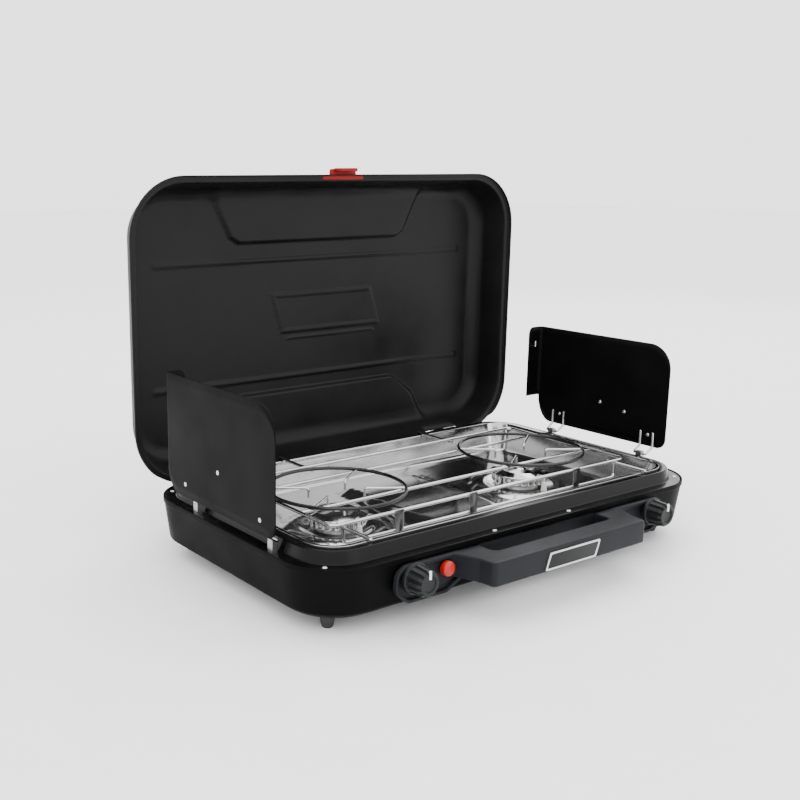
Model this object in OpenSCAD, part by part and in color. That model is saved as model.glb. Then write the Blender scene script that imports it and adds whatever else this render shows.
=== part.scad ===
// Two-burner clamshell camping stove with a folding lid and two folding wind panels.
// Millimetres, +Z up. X runs along the front, -Y is the front. The origin is on the
// ground below the middle of the base. The pose drawn is the one for cooking: lid
// upright, both wind panels upright.

/* [Base] */
// Width of the base at its rim
base_w = 560; // [480:5:660]
// Depth of the base at its rim
base_d = 332; // [300:2:400]
// Height of the rim above the ground
rim_z = 68; // [62:1:82]
// Corner radius of the rim seen from above
corner_r = 60; // [52:1:76]
// How far the walls lean in from the rim to the floor
base_draft = 6; // [3:0.5:9]
// Thickness of the painted steel sheet
sheet = 1.2; // [0.8:0.1:1.6]
// Height of the feet
foot_h = 15; // [10:1:18]
// Diameter of a foot where it meets the floor
foot_d = 17; // [12:1:22]

/* [Deck and tray] */
// Height of the deck above the rim
deck_rise = 12; // [8:1:14]
// Width of the ledge between the rim and the deck wall
ledge_w = 14; // [12:1:18]
// Distance from the rim to the tray opening
tray_inset = 30; // [28:1:40]
// Depth of the tray below the deck
tray_depth = 38; // [30:1:40]

/* [Lid] */
// Overhang of the lid past the base rim all round
lid_over = 8; // [6:0.5:10]
// Depth of the lid pan
lid_depth = 48; // [46:1:60]
// Width of the lid's rim flange at the sides and front
lid_flange = 7; // [6:0.5:9]
// How far the lid walls lean in over the lid's depth
lid_draft = 7; // [4:0.5:9]
// Depth of the pressed panels in the lid
press_depth = 4.5; // [2:0.5:6]

/* [Wind panels] */
// Height of a wind panel
panel_h = 127; // [90:1:140]
// Length of a wind panel from front to back
panel_len = 205; // [180:2:214]
// Width of the strip folded in at its back edge
strip_len = 24; // [16:1:26]
// Radius of its upper front corner
panel_r = 30; // [15:1:45]
// Diameter of the hinge wires
wire_d = 3; // [2.4:0.2:3.6]

/* [Grate and burners] */
// Distance between the two burner centres
burner_gap = 280; // [250:2:300]
// Mean radius of a grate ring
ring_r = 74; // [60:1:78]
// Diameter of the grate wires
grate_d = 4; // [3:0.2:5]
// Diameter of the burner head
head_d = 66; // [54:1:76]

/* [Front controls] */
// Distance of each knob from the middle
knob_x = 174.5; // [150:0.5:190]
// Height of the knob axis
knob_z = 48.8; // [44:0.2:52]
// Diameter of a knob
knob_d = 31; // [26:1:34]
// Length of a knob
knob_len = 22; // [16:1:26]
// Diameter of the igniter button
button_d = 15; // [10:0.5:17]
// Travel of the igniter button
button_travel = 3.5; // [2:0.5:3.5]
// Overall width of the carry handle
handle_w = 226; // [180:2:240]
// Reach of the handle in front of the base
handle_reach = 48.2; // [42:1:60]
// Height of the handle bar
handle_h = 24; // [18:1:26]

/* [Hidden] */
$fn = 96;
eps = 0.01;
slack = 0.3;          // gap between pieces that pass each other
run_fit = 0.05;       // radial clearance of a shaft in its bore
bend_swell = 1.08;    // how much thicker a wire is at a bend
floor_z = foot_h;
front_y = -base_d / 2;
back_y = base_d / 2;
side_x = base_w / 2;

// base pan
rim_band = 5;         // height of the upright band at the rim
band_step = 1;        // how far the band stands proud of the wall
floor_r = 8;          // radius from the wall to the floor
ledge_z = rim_z - 1.8;
floor_in = band_step + base_draft + floor_r;

// deck and tray
deck_t = 1;
flange_top = ledge_z + deck_t;
deck_z = rim_z + deck_rise;
deck_lean = 2.5;
tray_t = 0.8;
tray_lip = 4;
tray_lean = 8;
tray_r = 6;
tray_floor = deck_z - tray_depth;

// lid: closed, its rim plane lies just above the base rim; it turns about the hinge
// axis until that plane stands just behind the base
lid_gap = 0.5;
lid_z = rim_z + lid_gap;
lid_back = 1.8;
lid_w = base_w + 2 * lid_over;
lid_reach = base_d / 2 + lid_over;
lid_d = 2 * lid_reach;
lid_r = corner_r + lid_over;
lid_lip = 4;
lid_bend = 19;        // radius between the lid's walls and its top
back_flange = 6;
hinge_z = rim_z + lid_gap + (lid_back - lid_gap) + 0.05;
hinge_y = back_y + lid_back + hinge_z - lid_z;
hinge_x = 178;
knuckle_r = 3.1;
hinge_pin_d = 4;
knuckle_len = 14;
leaf_w = 3 * knuckle_len + 2;
leaf_len = 24;
hinge_cut = leaf_w + 4;

// wind panels: each turns about an axis along Y inside the deck edge
panel_t = 1.2;
panel_x = side_x + 5;
pivot_z = rim_z + 12;
pivot_x = side_x - 8;
panel_z = pivot_z + 7;
panel_front = front_y + 60;
panel_rear = panel_front + panel_len;
strip_low = 34;       // height where the angled strip begins
hinge_ys = [panel_front + 25, panel_rear - 40];
arm_half = 9;

// burners and grate
burner_x = burner_gap / 2;
burner_y = -8;
head_z = tray_floor + 6;
weld = 0.8;           // how far crossing wires sink into each other
leg_z = deck_z + tray_t + grate_d / 2;
rail_z = leg_z + grate_d - weld;
ring_z = rail_z + grate_d - weld;
rail_half = burner_x + ring_r + 2;
front_rail = burner_y - ring_r - 17;
back_rail = burner_y + ring_r + 17;
mid_rail = burner_y - 40;
lower_rail_z = rail_z - 20;
back_leg_x = 110;

// front controls
fascia_t = 2.5;
fascia_top = rim_z - 6;
fascia_low = floor_z + 8;
fascia_y = front_y - 4;
fascia_half = knob_x + knob_d / 2 + 6;
arm_outer = handle_w / 2;
arm_w = 26;
bar_t = 25;
bar_front = front_y - handle_reach;
bar_low = fascia_top - handle_h - 1;
bar_top = fascia_top - 1;
knob_back = fascia_y - 3;
stem_d = 6;
valve_y = front_y + 15;
valve_len = 18;
valve_w = 18;
jet_z = tray_floor - 9;
button_x = -(knob_x - 42);
button_out = 8;
pipe_d = 8;
pipe_y = valve_y + 9;
pipe_z = jet_z - 8;
inlet_y = -40;
inlet_z = pipe_z;
inlet_r = 6;
inlet_len = 16;

// latch on the lid, in the closed lid's place
latch_w = 62;
latch_tab_w = 40;
latch_y = front_y - lid_over;
latch_pin_y = latch_y + 2.25;
latch_pin_z = lid_z + 6;
latch_pin_d = 3;
leg_t = 4;
claw_w = 28;
claw_h = 3;
keeper_z = rim_z - 7.2;
keeper_y = front_y - 1.2;
claw_top = keeper_z - 1.4;

// ---------------------------------------------------------------- shared shapes

// A rectangle with round corners.
module rounded_rect(w, d, r) {
    square([w - 2 * r, d], center = true);
    square([w, d - 2 * r], center = true);
    for (x = [-1, 1], y = [-1, 1])
        translate([x * (w / 2 - r), y * (d / 2 - r)])
            circle(r);
}

// Sweeps a profile round a rounded rectangle. In the profile x is the distance outside
// the outline and y is the height.
module sweep_round(w, d, r) {
    for (i = [0:3]) {
        across = i % 2 == 0 ? w : d;
        run = (i % 2 == 0 ? d : w) - 2 * r;
        rotate([0, 0, 90 * i]) {
            translate([across / 2, 0, 0])
                rotate([90, 0, 0])
                    linear_extrude(run, center = true) children();
            translate([across / 2 - r, run / 2, 0])
                rotate_extrude(angle = 90)
                    translate([r, 0]) children();
        }
    }
}

// A plate in the plane z = 0..t with round corners.
module plate(w, d, r, t) {
    linear_extrude(t) rounded_rect(w, d, r);
}

// A round rod from p to q.
module rod(p, q, d) {
    v = q - p;
    len = norm(v);
    translate(p)
        rotate([0, acos(v[2] / len), atan2(v[1], v[0])])
            cylinder(h = len, d = d, $fn = 24);
}

// A wire through a list of points. The balls are a little thicker than the wire, as the
// metal is where it has been bent.
module wire(points, d) {
    for (i = [0:len(points) - 2])
        rod(points[i], points[i + 1], d);
    for (i = [1:1:len(points) - 2])
        translate(points[i])
            sphere(d = d * bend_swell, $fn = 24);
}

// Points of a quarter arc about (x, z) from angle a to angle b.
function arc(x, z, r, a, b, n = 4) =
    [for (i = [0:n]) let (t = a + (b - a) * i / n) [x + r * cos(t), z + r * sin(t)]];

// Puts a piece drawn on the closed lid into the open lid's place.
module open_lid() {
    translate([0, hinge_y, hinge_z])
        rotate([-90, 0, 0])
            translate([0, -hinge_y, -hinge_z]) children();
}

// A pan-head screw or rivet whose head sits on z = 0.
module rivet(head_d, head_h, shank_d, shank_len) {
    cylinder(h = head_h, d1 = head_d, d2 = head_d * 0.6, $fn = 32);
    translate([0, 0, -shank_len])
        cylinder(h = shank_len + eps, d = shank_d, $fn = 24);
}

// Draws the left-hand piece, or its mirror image on the right.
module on_side(side) {
    if (side < 0)
        children();
    else
        mirror([1, 0, 0]) children();
}

// ---------------------------------------------------------------- base

module base_profile() {
    wall_top = rim_z - rim_band;
    foot_s = -band_step - base_draft;
    polygon(concat(
        [[0, rim_z], [0, wall_top], [-band_step, wall_top - band_step]],
        arc(foot_s - floor_r, floor_z + floor_r, floor_r, 0, -90),
        [[foot_s - floor_r - 1, floor_z], [foot_s - floor_r - 1, floor_z + sheet]],
        arc(foot_s - floor_r, floor_z + floor_r, floor_r - sheet, -90, 0),
        [[-band_step - sheet, wall_top - band_step], [-sheet - band_step, ledge_z - sheet],
         [-ledge_w - 2, ledge_z - sheet], [-ledge_w - 2, ledge_z], [-sheet, ledge_z],
         [-sheet, rim_z]]));
}

module base_pan() {
    color("#2b2b2d")
        difference() {
            union() {
                sweep_round(base_w, base_d, corner_r) base_profile();
                translate([0, 0, floor_z])
                    plate(base_w - 2 * floor_in, base_d - 2 * floor_in, corner_r - floor_in,
                          sheet);
            }
            front_holes();
            translate([side_x - 30, inlet_y, inlet_z])
                rotate([0, 90, 0])
                    cylinder(h = 40, r = inlet_r + 3 + slack);
            floor_vents();
            foot_holes();
            deck_screw_places() cylinder(h = 20, d = 3, center = true, $fn = 24);
        }
}

// Holes for the valve stems and the igniter in the front wall.
module front_holes() {
    for (x = [-knob_x, knob_x])
        translate([x, front_y - 10, knob_z])
            rotate([-90, 0, 0])
                cylinder(h = 30, d = 12);
    translate([button_x, front_y - 10, knob_z])
        rotate([-90, 0, 0])
            cylinder(h = 30, d = button_d - 3 + 2 * slack);
}

module floor_vents() {
    slot_w = 6;
    slot_len = 60;
    for (side = [-1, 1], i = [-2:2])
        translate([side * burner_x + i * 18, burner_y, floor_z - 5])
            linear_extrude(10) {
                square([slot_w, slot_len - slot_w], center = true);
                for (end = [-1, 1])
                    translate([0, end * (slot_len - slot_w) / 2])
                        circle(d = slot_w);
            }
}

module foot_places() {
    inset = floor_in + 24;
    for (x = [-1, 1], y = [-1, 1])
        translate([x * (side_x - inset), y * (back_y - inset), 0]) children();
}

module foot_holes() {
    foot_places()
        translate([0, 0, floor_z - 5])
            cylinder(h = 10, d = 6);
}

module feet() {
    foot_places()
        color("#1c1c1e") {
            cylinder(h = 3, d1 = foot_d * 0.55, d2 = foot_d * 0.62);
            translate([0, 0, 3])
                cylinder(h = foot_h - 3, d1 = foot_d * 0.62, d2 = foot_d);
            translate([0, 0, foot_h - eps])
                cylinder(h = sheet + eps, d = 6);
            translate([0, 0, foot_h + sheet])
                cylinder(h = 2, d1 = 9, d2 = 7);
        }
}

// ---------------------------------------------------------------- deck and tray

module deck_profile() {
    wall = -ledge_w - 1;
    top = wall - deck_lean;
    inner = -tray_inset;
    polygon([
        [-2.2, ledge_z], [-2.2, flange_top], [wall, flange_top], [top, deck_z - 1],
        [top - 1, deck_z], [inner, deck_z], [inner, deck_z - deck_t],
        [top - 1, deck_z - deck_t], [top - deck_t, deck_z - deck_t - 1],
        [wall - deck_t, ledge_z]]);
}

module deck() {
    color("#1a1a1c")
        difference() {
            sweep_round(base_w, base_d, corner_r) deck_profile();
            deck_screw_places() cylinder(h = 20, d = 3, center = true, $fn = 24);
        }
}

// The screws stand on the ledge: two at the front, two at the back, one at each corner.
module deck_screw_places() {
    inset = ledge_w * 0.62;
    corner = (corner_r - inset) * (1 - sqrt(0.5));
    for (x = [-1, 1], y = [-1, 1]) {
        translate([x * 55, y * (back_y - inset), flange_top]) children();
        translate([x * (side_x - inset - corner), y * (back_y - inset - corner), flange_top])
            children();
    }
}

module deck_screws() {
    color("#c9cacc")
        deck_screw_places()
            difference() {
                rivet(5.6, 1.2, 3, 6);
                translate([0, 0, 1])
                    cube([6, 0.8, 1], center = true);
            }
}

module tray_profile() {
    wall = -tray_inset - 1;
    foot_s = wall - tray_lean;
    polygon(concat(
        [[wall + tray_lip + 1, deck_z], [wall + tray_lip + 1, deck_z + tray_t],
         [wall - tray_t, deck_z + tray_t]],
        arc(foot_s - tray_r, tray_floor + tray_r, tray_r - tray_t, 0, -90),
        [[foot_s - tray_r - 1, tray_floor + tray_t], [foot_s - tray_r - 1, tray_floor]],
        arc(foot_s - tray_r, tray_floor + tray_r, tray_r, -90, 0),
        [[wall, deck_z]]));
}

module drip_tray() {
    inset = tray_inset + 1 + tray_lean + tray_r;
    color("#c4c6c8")
        difference() {
            union() {
                sweep_round(base_w, base_d, corner_r) tray_profile();
                translate([0, 0, tray_floor])
                    plate(base_w - 2 * inset, base_d - 2 * inset, corner_r - inset, tray_t);
            }
            for (side = [-1, 1]) {
                translate([side * burner_x, burner_y, tray_floor - 5])
                    cylinder(h = 10, d = 34);
                translate([side * burner_x, burner_y - head_d / 2 - 7, tray_floor - 5])
                    cylinder(h = 10, d = 6.6);
            }
        }
}

// ---------------------------------------------------------------- fascia and handle

// Outline of the fascia's front seen from the front, x across and y up.
module fascia_outline(half, low, top, r) {
    translate([0, (low + top) / 2])
        rounded_rect(2 * half, top - low, r);
}

// One knob recess: straight sides below and two large round corners above.
module recess_outline(low, top, left, right, r) {
    translate([left, low])
        square([right - left, top - low - r]);
    translate([left + r, low])
        square([right - left - 2 * r, top - low]);
    for (x = [left + r, right - r])
        translate([x, top - r])
            circle(r);
}

module front_fascia() {
    top = fascia_top;
    recess_in = 3;
    color("#3b3d40")
        difference() {
            union() {
                // wall plate with its top edge rolled back to the base
                translate([0, front_y - slack, 0])
                    rotate([90, 0, 0])
                        linear_extrude(front_y - slack - fascia_y)
                            fascia_outline(fascia_half, fascia_low, top, 5);
                handle_shell();
            }
            // the two knob recesses
            for (side = [-1, 1])
                translate([0, fascia_y + recess_in - 0.5, 0])
                    rotate([90, 0, 0])
                        linear_extrude(recess_in + 1)
                            recess_outline(fascia_low - 1, top - 3,
                                side < 0 ? -fascia_half + 3 : arm_outer + 3,
                                side < 0 ? -arm_outer - 3 : fascia_half - 3, 13);
            // hand hole, right down to the wall
            translate([0, (front_y + bar_front + bar_t) / 2, 0])
                linear_extrude(rim_z)
                    rounded_rect(2 * (arm_outer - arm_w), front_y - bar_front - bar_t + 2 * eps,
                                 8);
            translate([0, front_y - 2, 0])
                linear_extrude(rim_z)
                    square([2 * (arm_outer - arm_w), 8], center = true);
            // hollow underside of the bar
            translate([0, bar_front + bar_t / 2, bar_low - 3])
                linear_extrude(handle_h - 1)
                    rounded_rect(2 * arm_outer - 8, bar_t - 7, 3);
            for (x = [-knob_x, knob_x])
                translate([x, fascia_y - 1, knob_z])
                    rotate([-90, 0, 0])
                        cylinder(h = 10, d = 9);
            translate([button_x, fascia_y - 1, knob_z])
                rotate([-90, 0, 0])
                    cylinder(h = 10, d = button_d + 2 * slack);
        }
}

// The bar and its two arms, with their lower edges swept up to the wall.
module handle_shell() {
    depth = front_y - slack - bar_front;
    difference() {
        translate([0, front_y - slack - depth / 2, bar_low])
            linear_extrude(handle_h)
                rounded_rect(2 * arm_outer, depth, 7);
        // chamfer along the top front edge
        translate([0, bar_front, bar_top])
            rotate([45, 0, 0])
                cube([2 * arm_outer + 10, 4, 4], center = true);
    }
    for (x = [-1, 1], y = [-1, 0, 1])
        translate([x * (arm_outer - 60), bar_front + bar_t / 2, bar_low + handle_h / 2])
            cube([2, bar_t - 2, handle_h], center = true);
}

module handle_badge() {
    half_top = 37;
    slant = 6;
    h = 18;
    color("#b9bbbe")
        translate([0, bar_front, (bar_low + bar_top) / 2 - 1])
            rotate([90, 0, 0]) {
                linear_extrude(1)
                    polygon([[-half_top - slant, -h / 2], [half_top - slant, -h / 2],
                             [half_top, h / 2], [-half_top, h / 2]]);
                translate([0, 0, 1 - eps])
                    linear_extrude(0.6)
                        difference() {
                            polygon([[-half_top - slant, -h / 2], [half_top - slant, -h / 2],
                                     [half_top, h / 2], [-half_top, h / 2]]);
                            polygon([[-half_top - slant + 3.4, -h / 2 + 2],
                                     [half_top - slant - 2, -h / 2 + 2],
                                     [half_top - 3.4, h / 2 - 2], [-half_top + 2, h / 2 - 2]]);
                        }
            }
}

module knob(x) {
    flutes = 12;
    r = knob_d / 2;
    skirt = 4;
    color("#3e4140")
        translate([x, knob_back, knob_z])
            rotate([90, 0, 0])
                difference() {
                    union() {
                        cylinder(h = skirt, r = r);
                        translate([0, 0, skirt - eps])
                            cylinder(h = knob_len - skirt - 2, r1 = r - 1, r2 = r - 3);
                        translate([0, 0, knob_len - 2 - eps])
                            cylinder(h = 2, r1 = r - 3, r2 = r - 5);
                    }
                    for (i = [0:flutes - 1])
                        rotate([0, 0, (i + 0.5) * 360 / flutes])
                            translate([r + 0.4, 0, skirt])
                                cylinder(h = knob_len, r = 2.6, $fn = 32);
                    translate([0, 0, -1])
                        cylinder(h = knob_len - 5, d = stem_d);
                    rotate([0, 0, 90])
                        translate([r - 7, -1, skirt])
                            cube([10, 2, knob_len]);
                }
}

module knob_pointer(x) {
    r = knob_d / 2;
    color("white")
        translate([x - 1, knob_back - knob_len + 0.6, knob_z + r - 7])
            cube([2, knob_len - 5.2, 3.2]);
}

module valve_stem(x) {
    color("#b08d4a")
        translate([x, knob_back - knob_len + 6, knob_z])
            rotate([-90, 0, 0])
                cylinder(h = valve_y + 6 - (knob_back - knob_len + 6), d = stem_d - 2 * run_fit);
}

module igniter_button() {
    color("#d83a30")
        translate([button_x, fascia_y - button_out, knob_z])
            rotate([-90, 0, 0]) {
                cylinder(h = 2, d1 = button_d - 4, d2 = button_d);
                translate([0, 0, 2 - eps])
                    cylinder(h = button_out - 2.4, d = button_d);
                translate([0, 0, button_out - 1])
                    cylinder(h = 14, d = 5);
            }
}

// ---------------------------------------------------------------- gas train

module valve_body(x) {
    low = pipe_z - pipe_d / 2 - 2;
    color("#b59650")
        difference() {
            union() {
                translate([x - valve_w / 2, valve_y, low])
                    cube([valve_w, valve_len, knob_z + 9 - low]);
                translate([x, valve_y + valve_len - eps, jet_z])
                    rotate([-90, 0, 0])
                        cylinder(h = 8, d1 = 8, d2 = 4);
            }
            translate([x, valve_y - 1, knob_z])
                rotate([-90, 0, 0])
                    cylinder(h = 12, d = stem_d);
            translate([x, pipe_y, pipe_z])
                rotate([0, 90, 0])
                    cylinder(h = 100, d = pipe_d, center = true);
            translate([x, valve_y + valve_len - 8, jet_z])
                rotate([-90, 0, 0])
                    cylinder(h = 30, d = 1.5, $fn = 24);
        }
}

module manifold_pipe() {
    turn = 30;
    end_x = side_x - floor_in - 5;
    corner_x = end_x - turn;
    color("#9a9c9e") {
        difference() {
            translate([-knob_x - 14, pipe_y, pipe_z])
                rotate([0, 90, 0])
                    cylinder(h = corner_x + knob_x + 14, d = pipe_d);
            translate([-knob_x - 12, pipe_y, pipe_z])
                rotate([0, 90, 0])
                    cylinder(h = corner_x + knob_x + 13, d = pipe_d - 2);
        }
        translate([corner_x, pipe_y + turn, pipe_z])
            rotate([0, 0, -90])
                rotate_extrude(angle = 90)
                    translate([turn, 0])
                        difference() {
                            circle(d = pipe_d);
                            circle(d = pipe_d - 2);
                        }
        translate([end_x, pipe_y + turn, pipe_z])
            rotate([-90, 0, 0])
                difference() {
                    cylinder(h = inlet_y - 7 - pipe_y - turn, d = pipe_d);
                    translate([0, 0, -1])
                        cylinder(h = base_d, d = pipe_d - 2);
                }
    }
}

// Threaded socket that the cylinder's regulator screws into, and the block behind it.
module gas_inlet() {
    end_x = side_x - floor_in - 5;
    outer = side_x + 6;
    color("#b59650")
        difference() {
            union() {
                translate([end_x - 7, inlet_y - 7, inlet_z - 7])
                    cube([14, 14, 14]);
                translate([end_x, inlet_y, inlet_z])
                    rotate([0, 90, 0])
                        cylinder(h = outer - end_x, r = inlet_r + 3);
                translate([side_x, inlet_y, inlet_z])
                    rotate([0, 90, 0])
                        cylinder(h = 4, r = inlet_r + 6, $fn = 6);
            }
            translate([outer - inlet_len, inlet_y, inlet_z])
                rotate([0, 90, 0])
                    cylinder(h = inlet_len + 1, r = inlet_r);
            translate([end_x, inlet_y - 8, inlet_z])
                rotate([-90, 0, 0])
                    cylinder(h = 9, d = 4);
            translate([end_x, inlet_y, inlet_z])
                rotate([0, 90, 0])
                    cylinder(h = 12, d = 5);
        }
}

module burner_cup(side) {
    color("#b7b9bb")
        translate([side * burner_x, burner_y, 0])
            difference() {
                union() {
                    translate([0, 0, tray_floor - 16])
                        cylinder(h = 16 + tray_t, d = 33);
                    translate([0, 0, tray_floor + tray_t])
                        cylinder(h = head_z - tray_floor - tray_t, d1 = 48, d2 = 44);
                }
                translate([0, 0, tray_floor - 14])
                    cylinder(h = 60, d = 28);
                venturi_line(side) cylinder(h = 60, d = 12 + 2 * run_fit);
            }
}

// Placed at the burner end of the venturi, pointing to the jet.
module venturi_line(side) {
    dx = knob_x - burner_x;
    dy = valve_y + valve_len + 10 - burner_y;
    translate([0, 0, jet_z])
        rotate([0, 90, atan2(dy, side * dx)]) children();
}

module venturi(side) {
    dx = knob_x - burner_x;
    dy = valve_y + valve_len + 10 - burner_y;
    reach = norm([dx, dy]);
    color("#9fa1a3")
        translate([side * burner_x, burner_y, 0])
            venturi_line(side)
                difference() {
                    union() {
                        translate([0, 0, 10])
                            cylinder(h = reach - 22, d = 12);
                        translate([0, 0, reach - 12 - eps])
                            cylinder(h = 12, d1 = 12, d2 = 15);
                    }
                    translate([0, 0, 9])
                        cylinder(h = reach, d = 10);
                }
}

module burner_head(side) {
    slots = 24;
    head_h = 12;
    color("#a9abad")
        translate([side * burner_x, burner_y, head_z])
            difference() {
                union() {
                    cylinder(h = 3, d1 = 46, d2 = head_d);
                    translate([0, 0, 3 - eps])
                        cylinder(h = head_h - 3, d = head_d);
                }
                translate([0, 0, 2])
                    cylinder(h = head_h, d = head_d - 8);
                translate([0, 0, -1])
                    cylinder(h = 10, d = 28);
                for (i = [0:slots - 1])
                    rotate([0, 0, i * 360 / slots])
                        translate([head_d / 2 - 6, -1.2, 5])
                            cube([8, 2.4, 4.5]);
            }
}

module burner_cap(side) {
    cap_z = head_z + 12;
    color("#8f9193")
        translate([side * burner_x, burner_y, cap_z]) {
            cylinder(h = 1.5, d = head_d + 4);
            translate([0, 0, 1.5 - eps])
                cylinder(h = 3, d1 = head_d + 2, d2 = head_d - 22);
            translate([0, 0, 4.4])
                cylinder(h = 2, d1 = 9, d2 = 7);
            translate([0, 0, -1.5])
                cylinder(h = 1.6, d = head_d - 8 - 2 * slack);
        }
}

module igniter_body() {
    start = front_y + 0.3;
    color("#2a2a2c")
        translate([button_x, start, knob_z])
            rotate([-90, 0, 0])
                difference() {
                    union() {
                        cylinder(h = 9, d = button_d - 3);
                        translate([0, 0, 9 - eps])
                            cylinder(h = 20, d = 14);
                    }
                    translate([0, 0, -1])
                        cylinder(h = 10 + 6 + button_travel, d = 5 + 2 * slack);
                }
}

module electrode(side) {
    y = burner_y - head_d / 2 - 7;
    color("#e9e6dc")
        translate([side * burner_x, y, 0]) {
            translate([0, 0, tray_floor - 12])
                cylinder(h = 12 + tray_t, d = 6);
            translate([0, 0, tray_floor + tray_t])
                cylinder(h = 14, d1 = 8, d2 = 5);
        }
    color("#c9cacc")
        wire([[side * burner_x, y, tray_floor + 13], [side * burner_x, y, tray_floor + 20],
              [side * burner_x, y + 6, tray_floor + 22]], 1.5);
}

// Two insulated leads from the igniter to the electrodes, held under the tray.
module ignition_leads() {
    start_y = front_y + 29;
    low = floor_z + 5;
    ey = burner_y - head_d / 2 - 7;
    end_z = tray_floor - 12;
    color("#8c2f2a")
        for (side = [-1, 1]) {
            x = button_x + side * 3.5;
            wire([[x, start_y, knob_z], [x, start_y + 8, knob_z], [x, start_y + 8, low],
                  [side * burner_x, ey, low], [side * burner_x, ey, end_z]], 2.6);
        }
}

// ---------------------------------------------------------------- grate

module grate_rails() {
    color("#d9dadc") {
        for (y = [front_rail, back_rail])
            rod([-rail_half, y, rail_z], [rail_half, y, rail_z], grate_d);
        rod([-rail_half, mid_rail, rail_z], [rail_half, mid_rail, rail_z], grate_d);
        rod([-rail_half + 20, front_rail, lower_rail_z], [rail_half - 20, front_rail,
            lower_rail_z], grate_d);
        for (x = [-1, 1]) {
            rod([x * rail_half, front_rail, rail_z], [x * rail_half, back_rail, rail_z],
                grate_d);
            for (y = [front_rail, back_rail])
                translate([x * rail_half, y, rail_z])
                    sphere(d = grate_d, $fn = 24);
        }
    }
}

module grate_ring(side) {
    color("#4b4c4e")
        translate([side * burner_x, burner_y, ring_z])
            rotate_extrude()
                translate([ring_r, 0])
                    circle(d = grate_d, $fn = 24);
}

// Flat straps that tie the front rails together.
module grate_straps() {
    color("#d0d1d3")
        for (x = [-burner_x + 8, -30, burner_x - 8])
            translate([x - 5.5, front_rail - grate_d / 2 - 1.2, lower_rail_z - 3])
                cube([11, 1.2, rail_z - lower_rail_z + 6]);
}

// Legs welded under the rails that reach over the tray edge and rest on its lip.
module grate_legs() {
    color("#d9dadc")
        for (x = [-1, 1], y = [-1, 1]) {
            leg_x = x * (y < 0 ? rail_half - 14 : back_leg_x);
            rail_y = y < 0 ? front_rail : back_rail;
            rest_y = y * (back_y - tray_inset + 8);
            rod([leg_x, rail_y - y * 8, leg_z], [leg_x, rest_y, leg_z], grate_d);
        }
}

// ---------------------------------------------------------------- lid

module lid_profile(flange) {
    wall = -flange;
    top = lid_z + lid_depth;
    r = lid_bend;
    polygon(concat(
        [[0, lid_z], [0, lid_z + sheet], [wall - 0.5, lid_z + sheet]],
        arc(wall - lid_draft - r, top - r, r, 0, 90, 8),
        [[wall - lid_draft - r - 1, top], [wall - lid_draft - r - 1, top - sheet]],
        arc(wall - lid_draft - r, top - r, r - sheet, 90, 0, 8),
        [[wall - sheet, lid_z]]));
}

// Pressed panels, drawn on the lid's top with x across and y from back to front. Each is
// drawn smaller by t all round to give the inner face of its wall.
module latch_panel(t) {
    front = -lid_reach + lid_flange + lid_draft;
    polygon([[-168 + t, front - 8], [168 - t, front - 8], [134 - t, front + 66 - t],
             [124 - t, front + 72 - t], [-124 + t, front + 72 - t], [-134 + t, front + 66 - t]]);
}

module hinge_panel(t) {
    back = lid_reach - back_flange - lid_draft;
    polygon([[-188 + t, back], [188 - t, back], [156 - t, back - 48 + t],
             [130 - t, back - 72 + t], [120 - t, back - 76 + t], [-120 + t, back - 76 + t],
             [-130 + t, back - 72 + t], [-156 + t, back - 48 + t]]);
}

module badge_panel() {
    translate([12, hinge_y + hinge_z - 245])
        polygon([[-86, -25], [70, -25], [86, 25], [-70, 25]]);
}

module bead(half, y, w) {
    translate([0, y])
        square([2 * half, w], center = true);
    for (x = [-half, half])
        translate([x, y])
            circle(d = w);
}

// The two long beads: one near the latch, one near the hinges.
module beads(w) {
    bead(235, hinge_y + hinge_z - 312, w);
    bead(237, hinge_y + hinge_z - 165, w);
}

module lid_shell() {
    top = lid_z + lid_depth;
    inset = lid_flange + lid_draft + lid_bend;
    draw = 2;
    color("#262628")
        open_lid()
            difference() {
                union() {
                    sweep_round(lid_w, lid_d, lid_r) lid_profile(lid_flange);
                    translate([0, 0, top - sheet])
                        plate(lid_w - 2 * inset, lid_d - 2 * inset, lid_r - inset, sheet);
                    lid_lip();
                    // pressed panels and beads stand proud on the inside
                    translate([0, 0, top - press_depth - sheet])
                        linear_extrude(press_depth + sheet / 2)
                            intersection() {
                                union() {
                                    latch_panel(0);
                                    hinge_panel(0);
                                }
                                rounded_rect(lid_w - 2 * inset + 2, lid_d - 2 * inset + 2,
                                             lid_r - inset + 1);
                            }
                    translate([0, 0, top - sheet - draw])
                        linear_extrude(draw + sheet / 2) beads(4);
                    translate([0, 0, top - sheet - 1.5])
                        linear_extrude(1.5 + sheet / 3) badge_panel();
                }
                translate([0, 0, top - press_depth])
                    linear_extrude(press_depth + 1)
                        intersection() {
                            union() {
                                latch_panel(sheet);
                                hinge_panel(sheet);
                            }
                            rounded_rect(lid_w - 2 * inset - 1, lid_d - 2 * inset - 1,
                                         lid_r - inset - 0.5);
                        }
                translate([0, 0, top - draw])
                    linear_extrude(draw + 1)
                        beads(1.6);
                // clearance round the hinge knuckles
                for (x = [-hinge_x, hinge_x])
                    translate([x, hinge_y + 2, hinge_z])
                        cube([hinge_cut, 14, 9], center = true);
                // slot for the latch
                translate([0, latch_y - 1, lid_z])
                    cube([latch_w + 2, 2 * lid_flange - 1, 2 * lid_lip + 2 * sheet + 2],
                         center = true);
            }
}

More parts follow.
